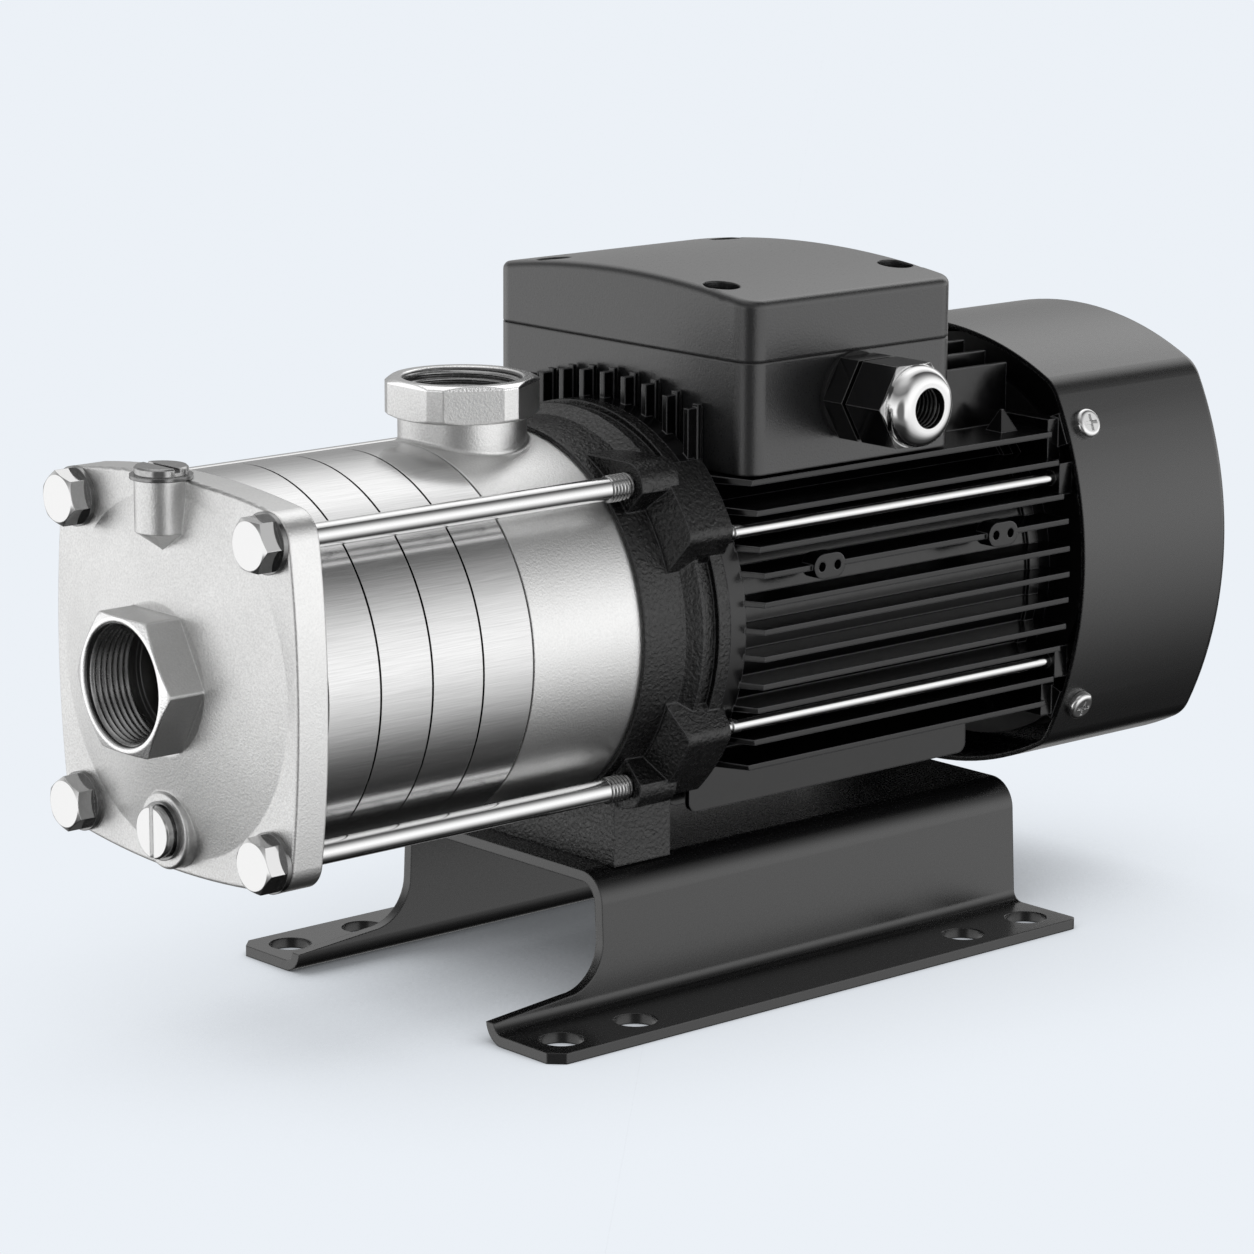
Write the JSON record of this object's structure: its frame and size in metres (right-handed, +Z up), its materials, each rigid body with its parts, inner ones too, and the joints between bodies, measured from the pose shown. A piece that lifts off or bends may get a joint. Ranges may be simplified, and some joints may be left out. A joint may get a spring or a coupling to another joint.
{
  "type": "horizontal multistage pump",
  "caption": "Horizontal multistage centrifugal pump, close coupled to a finned motor with terminal box, on a folded base plate.",
  "frame": {"origin": "centre of the base plate's foot bolt pattern, on the floor", "axes": "+X along the shaft from the suction port to the fan cover, +Z up along the discharge port"},
  "size_m": [0.465, 0.1989, 0.2567],
  "materials": {
    "cast_stainless": "bead blasted",
    "brushed_stainless": "brushed",
    "wetted_steel": "pressed",
    "bright_steel": "polished",
    "dark_screws": "satin",
    "bracket_iron": "black crinkle paint",
    "frame_black": "gloss",
    "box_black": "satin",
    "sheet_black": "satin",
    "black_plastic": "moulded",
    "gland_black": "gloss",
    "gland_bright": "polished",
    "black_rubber": "moulded",
    "seal_ceramic": "lapped",
    "seal_carbon": "lapped",
    "wear_plastic": "moulded",
    "laminations": "oiled",
    "copper_wire": "varnished",
    "post_brass": "turned"
  },
  "bodies": {
    "pump": {"suction_cover": "cast_stainless", "discharge_casing": "cast_stainless", "seal_plate": "cast_stainless", "stage_casing_1": "brushed_stainless", "stage_casing_2": "brushed_stainless", "stage_casing_3": "brushed_stainless", "stage_casing_4": "brushed_stainless", "diffuser_1": "wetted_steel", "diffuser_2": "wetted_steel", "diffuser_3": "wetted_steel", "diffuser_4": "wetted_steel", "tie_rods": "bright_steel", "tie_rod_washers": "bright_steel", "motor_rods": "bright_steel", "motor_rod_nuts": "bright_steel", "fan_cover_screws": "bright_steel", "front_bearing_outer": "bright_steel", "rear_bearing_outer": "bright_steel", "wave_washer": "bright_steel", "terminal_box_screws": "bright_steel", "bracket_bolts": "bright_steel", "lid_screws": "dark_screws", "motor_bracket": "bracket_iron", "motor_frame": "frame_black", "rear_end_shield": "frame_black", "terminal_box": "box_black", "terminal_box_lid": "box_black", "base_plate": "sheet_black", "fan_cover": "sheet_black", "terminal_board": "black_plastic", "gland_body": "gland_black", "gland_locknut": "gland_black", "gland_nut": "gland_bright", "stage_seals": "black_rubber", "terminal_box_gaskets": "black_rubber", "gland_seals": "black_rubber", "seal_seat": "seal_ceramic", "wear_rings": "wear_plastic", "stator_core": "laminations", "stator_windings": "copper_wire", "terminal_posts": "post_brass"},
    "rotor": {"shaft": "wetted_steel", "impeller_1": "wetted_steel", "impeller_2": "wetted_steel", "impeller_3": "wetted_steel", "impeller_4": "wetted_steel", "impeller_spacers": "wetted_steel", "impeller_nut": "wetted_steel", "seal_rotating_ring": "seal_carbon", "seal_bellows": "black_rubber", "slinger": "black_rubber", "front_bearing_inner": "bright_steel", "rear_bearing_inner": "bright_steel", "rotor_core": "laminations", "fan": "black_plastic", "fan_clip": "bright_steel"},
    "priming_plug": {"priming_plug": "bright_steel", "priming_plug_seal": "bright_steel"},
    "drain_plug": {"drain_plug": "bright_steel", "drain_plug_seal": "bright_steel"}
  },
  "joints": [
    {"name": "shaft_spin", "type": "hinge", "parent": "pump", "child": "rotor", "pos_m": [0, 0, 0.1356], "axis": [1, 0, 0], "continuous": true},
    {"name": "priming_plug_out", "type": "slide", "parent": "pump", "child": "priming_plug", "axis": [0, 0, 1], "range_m": [0, 0.03]},
    {"name": "drain_plug_out", "type": "slide", "parent": "pump", "child": "drain_plug", "axis": [-1, 0, 0], "range_m": [0, 0.03]}
  ]
}
